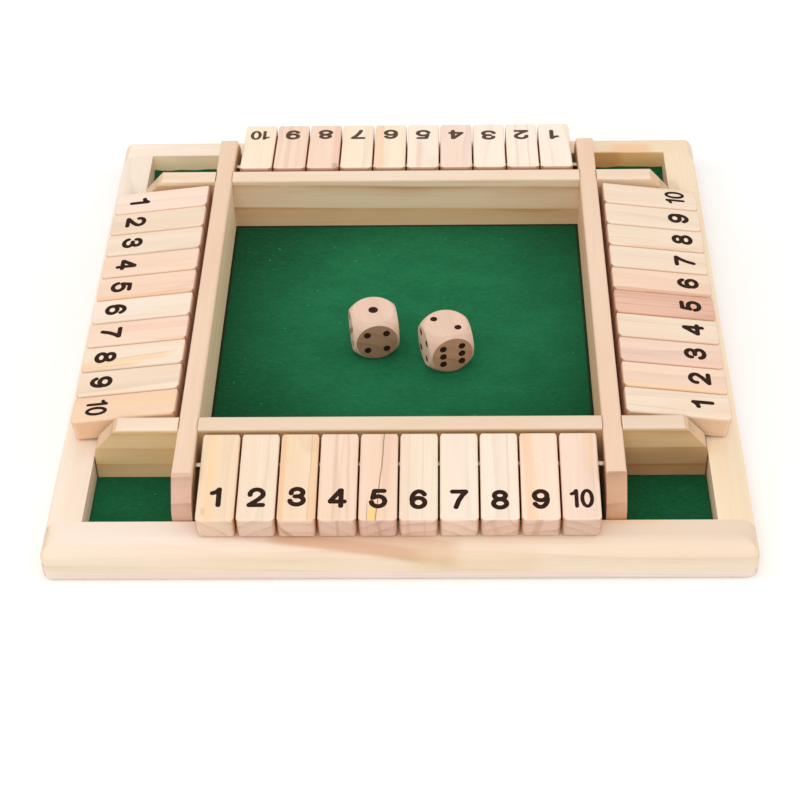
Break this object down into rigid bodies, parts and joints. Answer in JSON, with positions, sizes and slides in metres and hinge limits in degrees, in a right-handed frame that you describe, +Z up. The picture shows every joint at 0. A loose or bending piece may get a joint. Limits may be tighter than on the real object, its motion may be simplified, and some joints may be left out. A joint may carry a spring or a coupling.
{
  "type": "shut the box game",
  "caption": "Square wooden shut the box board with a felt play tray, corner pockets, rows of hinged number tiles on steel rods along every side, and loose dice.",
  "frame": {"origin": "centre of the board's flat underside", "axes": "+Z up, -Y towards the player whose tile numbers read upright from the front, +X to that player's right"},
  "size_m": [0.225, 0.225, 0.0269],
  "materials": {
    "rail_wood": "satin pale hardwood, eased edges",
    "panel_wood": "plain thin plywood",
    "wall_wood": "satin pale hardwood, rounded top",
    "tile_wood": "satin pale hardwood with plain printed numbers",
    "die_wood": "satin pale hardwood with dark painted pips",
    "felt": "short-napped green felt",
    "rod_steel": "plain drawn wire",
    "print_ink": "near-black matt ink and pip paint"
  },
  "bodies": {
    "board": {"base_panel": "panel_wood", "felt": "felt", "rail_front": "rail_wood", "rail_right": "rail_wood", "rail_rear": "rail_wood", "rail_left": "rail_wood", "wall_front": "wall_wood", "wall_right": "wall_wood", "wall_rear": "wall_wood", "wall_left": "wall_wood", "rod_front": "rod_steel", "rod_right": "rod_steel", "rod_rear": "rod_steel", "rod_left": "rod_steel"},
    "front_tile_1": {"front_tile_1": "tile_wood"},
    "front_tile_2": {"front_tile_2": "tile_wood"},
    "front_tile_3": {"front_tile_3": "tile_wood"},
    "front_tile_4": {"front_tile_4": "tile_wood"},
    "front_tile_5": {"front_tile_5": "tile_wood"},
    "front_tile_6": {"front_tile_6": "tile_wood"},
    "front_tile_7": {"front_tile_7": "tile_wood"},
    "front_tile_8": {"front_tile_8": "tile_wood"},
    "front_tile_9": {"front_tile_9": "tile_wood"},
    "front_tile_10": {"front_tile_10": "tile_wood"},
    "right_tile_1": {"right_tile_1": "tile_wood"},
    "right_tile_2": {"right_tile_2": "tile_wood"},
    "right_tile_3": {"right_tile_3": "tile_wood"},
    "right_tile_4": {"right_tile_4": "tile_wood"},
    "right_tile_5": {"right_tile_5": "tile_wood"},
    "right_tile_6": {"right_tile_6": "tile_wood"},
    "right_tile_7": {"right_tile_7": "tile_wood"},
    "right_tile_8": {"right_tile_8": "tile_wood"},
    "right_tile_9": {"right_tile_9": "tile_wood"},
    "right_tile_10": {"right_tile_10": "tile_wood"},
    "rear_tile_1": {"rear_tile_1": "tile_wood"},
    "rear_tile_2": {"rear_tile_2": "tile_wood"},
    "rear_tile_3": {"rear_tile_3": "tile_wood"},
    "rear_tile_4": {"rear_tile_4": "tile_wood"},
    "rear_tile_5": {"rear_tile_5": "tile_wood"},
    "rear_tile_6": {"rear_tile_6": "tile_wood"},
    "rear_tile_7": {"rear_tile_7": "tile_wood"},
    "rear_tile_8": {"rear_tile_8": "tile_wood"},
    "rear_tile_9": {"rear_tile_9": "tile_wood"},
    "rear_tile_10": {"rear_tile_10": "tile_wood"},
    "left_tile_1": {"left_tile_1": "tile_wood"},
    "left_tile_2": {"left_tile_2": "tile_wood"},
    "left_tile_3": {"left_tile_3": "tile_wood"},
    "left_tile_4": {"left_tile_4": "tile_wood"},
    "left_tile_5": {"left_tile_5": "tile_wood"},
    "left_tile_6": {"left_tile_6": "tile_wood"},
    "left_tile_7": {"left_tile_7": "tile_wood"},
    "left_tile_8": {"left_tile_8": "tile_wood"},
    "left_tile_9": {"left_tile_9": "tile_wood"},
    "left_tile_10": {"left_tile_10": "tile_wood"},
    "die_left": {"die_left": "die_wood"},
    "die_right": {"die_right": "die_wood"}
  },
  "joints": [
    {"name": "front_tile_1_hinge", "type": "hinge", "parent": "board", "child": "front_tile_1", "pos_m": [-0.05697, -0.082, 0.021], "axis": [-1, 0, 0], "range_deg": [0, 135]},
    {"name": "front_tile_2_hinge", "type": "hinge", "parent": "board", "child": "front_tile_2", "pos_m": [-0.04431, -0.082, 0.021], "axis": [-1, 0, 0], "range_deg": [0, 135]},
    {"name": "front_tile_3_hinge", "type": "hinge", "parent": "board", "child": "front_tile_3", "pos_m": [-0.03165, -0.082, 0.021], "axis": [-1, 0, 0], "range_deg": [0, 135]},
    {"name": "front_tile_4_hinge", "type": "hinge", "parent": "board", "child": "front_tile_4", "pos_m": [-0.01899, -0.082, 0.021], "axis": [-1, 0, 0], "range_deg": [0, 135]},
    {"name": "front_tile_5_hinge", "type": "hinge", "parent": "board", "child": "front_tile_5", "pos_m": [-0.00633, -0.082, 0.021], "axis": [-1, 0, 0], "range_deg": [0, 135]},
    {"name": "front_tile_6_hinge", "type": "hinge", "parent": "board", "child": "front_tile_6", "pos_m": [0.00633, -0.082, 0.021], "axis": [-1, 0, 0], "range_deg": [0, 135]},
    {"name": "front_tile_7_hinge", "type": "hinge", "parent": "board", "child": "front_tile_7", "pos_m": [0.01899, -0.082, 0.021], "axis": [-1, 0, 0], "range_deg": [0, 135]},
    {"name": "front_tile_8_hinge", "type": "hinge", "parent": "board", "child": "front_tile_8", "pos_m": [0.03165, -0.082, 0.021], "axis": [-1, 0, 0], "range_deg": [0, 135]},
    {"name": "front_tile_9_hinge", "type": "hinge", "parent": "board", "child": "front_tile_9", "pos_m": [0.04431, -0.082, 0.021], "axis": [-1, 0, 0], "range_deg": [0, 135]},
    {"name": "front_tile_10_hinge", "type": "hinge", "parent": "board", "child": "front_tile_10", "pos_m": [0.05697, -0.082, 0.021], "axis": [-1, 0, 0], "range_deg": [0, 135]},
    {"name": "right_tile_1_hinge", "type": "hinge", "parent": "board", "child": "right_tile_1", "pos_m": [0.082, -0.05697, 0.021], "axis": [0, -1, 0], "range_deg": [0, 135]},
    {"name": "right_tile_2_hinge", "type": "hinge", "parent": "board", "child": "right_tile_2", "pos_m": [0.082, -0.04431, 0.021], "axis": [0, -1, 0], "range_deg": [0, 135]},
    {"name": "right_tile_3_hinge", "type": "hinge", "parent": "board", "child": "right_tile_3", "pos_m": [0.082, -0.03165, 0.021], "axis": [0, -1, 0], "range_deg": [0, 135]},
    {"name": "right_tile_4_hinge", "type": "hinge", "parent": "board", "child": "right_tile_4", "pos_m": [0.082, -0.01899, 0.021], "axis": [0, -1, 0], "range_deg": [0, 135]},
    {"name": "right_tile_5_hinge", "type": "hinge", "parent": "board", "child": "right_tile_5", "pos_m": [0.082, -0.00633, 0.021], "axis": [0, -1, 0], "range_deg": [0, 135]},
    {"name": "right_tile_6_hinge", "type": "hinge", "parent": "board", "child": "right_tile_6", "pos_m": [0.082, 0.00633, 0.021], "axis": [0, -1, 0], "range_deg": [0, 135]},
    {"name": "right_tile_7_hinge", "type": "hinge", "parent": "board", "child": "right_tile_7", "pos_m": [0.082, 0.01899, 0.021], "axis": [0, -1, 0], "range_deg": [0, 135]},
    {"name": "right_tile_8_hinge", "type": "hinge", "parent": "board", "child": "right_tile_8", "pos_m": [0.082, 0.03165, 0.021], "axis": [0, -1, 0], "range_deg": [0, 135]},
    {"name": "right_tile_9_hinge", "type": "hinge", "parent": "board", "child": "right_tile_9", "pos_m": [0.082, 0.04431, 0.021], "axis": [0, -1, 0], "range_deg": [0, 135]},
    {"name": "right_tile_10_hinge", "type": "hinge", "parent": "board", "child": "right_tile_10", "pos_m": [0.082, 0.05697, 0.021], "axis": [0, -1, 0], "range_deg": [0, 135]},
    {"name": "rear_tile_1_hinge", "type": "hinge", "parent": "board", "child": "rear_tile_1", "pos_m": [0.05697, 0.082, 0.021], "axis": [1, 0, 0], "range_deg": [0, 135]},
    {"name": "rear_tile_2_hinge", "type": "hinge", "parent": "board", "child": "rear_tile_2", "pos_m": [0.04431, 0.082, 0.021], "axis": [1, 0, 0], "range_deg": [0, 135]},
    {"name": "rear_tile_3_hinge", "type": "hinge", "parent": "board", "child": "rear_tile_3", "pos_m": [0.03165, 0.082, 0.021], "axis": [1, 0, 0], "range_deg": [0, 135]},
    {"name": "rear_tile_4_hinge", "type": "hinge", "parent": "board", "child": "rear_tile_4", "pos_m": [0.01899, 0.082, 0.021], "axis": [1, 0, 0], "range_deg": [0, 135]},
    {"name": "rear_tile_5_hinge", "type": "hinge", "parent": "board", "child": "rear_tile_5", "pos_m": [0.00633, 0.082, 0.021], "axis": [1, 0, 0], "range_deg": [0, 135]},
    {"name": "rear_tile_6_hinge", "type": "hinge", "parent": "board", "child": "rear_tile_6", "pos_m": [-0.00633, 0.082, 0.021], "axis": [1, 0, 0], "range_deg": [0, 135]},
    {"name": "rear_tile_7_hinge", "type": "hinge", "parent": "board", "child": "rear_tile_7", "pos_m": [-0.01899, 0.082, 0.021], "axis": [1, 0, 0], "range_deg": [0, 135]},
    {"name": "rear_tile_8_hinge", "type": "hinge", "parent": "board", "child": "rear_tile_8", "pos_m": [-0.03165, 0.082, 0.021], "axis": [1, 0, 0], "range_deg": [0, 135]},
    {"name": "rear_tile_9_hinge", "type": "hinge", "parent": "board", "child": "rear_tile_9", "pos_m": [-0.04431, 0.082, 0.021], "axis": [1, 0, 0], "range_deg": [0, 135]},
    {"name": "rear_tile_10_hinge", "type": "hinge", "parent": "board", "child": "rear_tile_10", "pos_m": [-0.05697, 0.082, 0.021], "axis": [1, 0, 0], "range_deg": [0, 135]},
    {"name": "left_tile_1_hinge", "type": "hinge", "parent": "board", "child": "left_tile_1", "pos_m": [-0.082, 0.05697, 0.021], "axis": [0, 1, 0], "range_deg": [0, 135]},
    {"name": "left_tile_2_hinge", "type": "hinge", "parent": "board", "child": "left_tile_2", "pos_m": [-0.082, 0.04431, 0.021], "axis": [0, 1, 0], "range_deg": [0, 135]},
    {"name": "left_tile_3_hinge", "type": "hinge", "parent": "board", "child": "left_tile_3", "pos_m": [-0.082, 0.03165, 0.021], "axis": [0, 1, 0], "range_deg": [0, 135]},
    {"name": "left_tile_4_hinge", "type": "hinge", "parent": "board", "child": "left_tile_4", "pos_m": [-0.082, 0.01899, 0.021], "axis": [0, 1, 0], "range_deg": [0, 135]},
    {"name": "left_tile_5_hinge", "type": "hinge", "parent": "board", "child": "left_tile_5", "pos_m": [-0.082, 0.00633, 0.021], "axis": [0, 1, 0], "range_deg": [0, 135]},
    {"name": "left_tile_6_hinge", "type": "hinge", "parent": "board", "child": "left_tile_6", "pos_m": [-0.082, -0.00633, 0.021], "axis": [0, 1, 0], "range_deg": [0, 135]},
    {"name": "left_tile_7_hinge", "type": "hinge", "parent": "board", "child": "left_tile_7", "pos_m": [-0.082, -0.01899, 0.021], "axis": [0, 1, 0], "range_deg": [0, 135]},
    {"name": "left_tile_8_hinge", "type": "hinge", "parent": "board", "child": "left_tile_8", "pos_m": [-0.082, -0.03165, 0.021], "axis": [0, 1, 0], "range_deg": [0, 135]},
    {"name": "left_tile_9_hinge", "type": "hinge", "parent": "board", "child": "left_tile_9", "pos_m": [-0.082, -0.04431, 0.021], "axis": [0, 1, 0], "range_deg": [0, 135]},
    {"name": "left_tile_10_hinge", "type": "hinge", "parent": "board", "child": "left_tile_10", "pos_m": [-0.082, -0.05697, 0.021], "axis": [0, 1, 0], "range_deg": [0, 135]},
    {"name": "die_left_lift", "type": "slide", "parent": "board", "child": "die_left", "axis": [0, 0, 1], "range_m": [0, 0.036]},
    {"name": "die_right_lift", "type": "slide", "parent": "board", "child": "die_right", "axis": [0, 0, 1], "range_m": [0, 0.036]}
  ]
}
